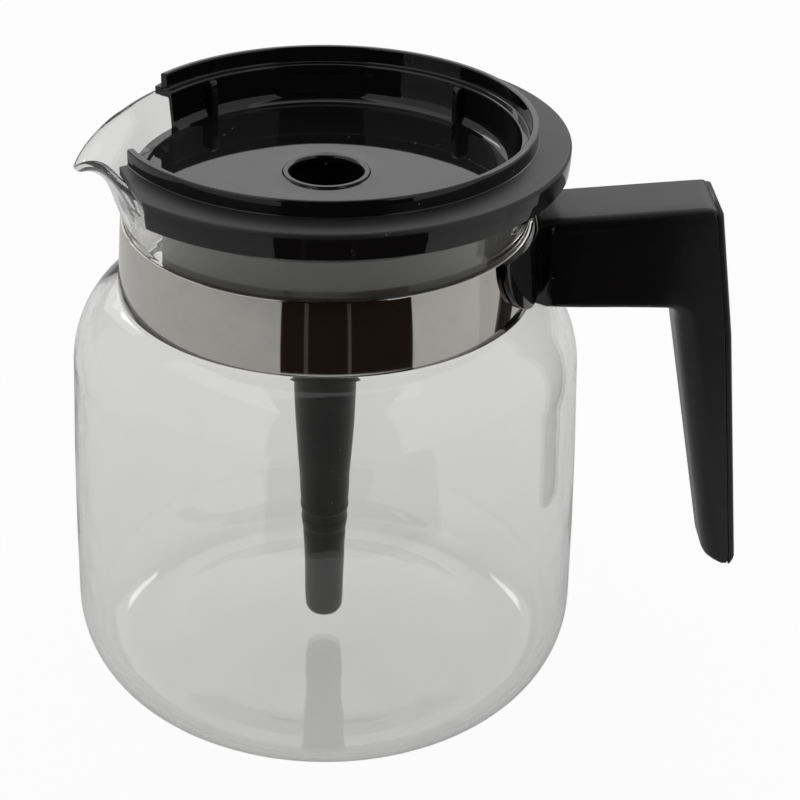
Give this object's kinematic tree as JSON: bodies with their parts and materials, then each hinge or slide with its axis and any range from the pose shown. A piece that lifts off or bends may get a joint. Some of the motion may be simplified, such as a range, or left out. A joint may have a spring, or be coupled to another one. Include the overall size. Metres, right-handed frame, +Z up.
{
  "type": "coffee server carafe",
  "caption": "Glass coffee jug with rounded shoulders, a drooping spout, a steel neck band, an L-shaped black handle and a lift-off lid with a mixing tube",
  "frame": {"origin": "centre of the jug's foot ring, on the surface that it stands on", "axes": "+Z up along the jug's axis, +X towards the handle, so that the spout points to -X, +Y to complete a right-handed frame"},
  "size_m": [0.1719, 0.13, 0.1502],
  "materials": {
    "glass": "clear, polished",
    "polished_steel": "polished stainless steel",
    "screw_steel": "plain zinc-coated steel",
    "gloss_black": "smooth moulded, glossy black",
    "satin_black": "fine satin black"
  },
  "bodies": {
    "jug": {"glass_jug": "glass", "neck_band": "polished_steel", "handle_body": "gloss_black", "handle_cover": "gloss_black", "clamp_screw": "screw_steel", "clamp_nut": "screw_steel"},
    "lid": {"lid": "gloss_black", "mixing_tube": "satin_black"}
  },
  "joints": [
    {"name": "lid_lift", "type": "slide", "parent": "jug", "child": "lid", "axis": [0, 0, 1], "range_m": [0, 0.145]}
  ]
}
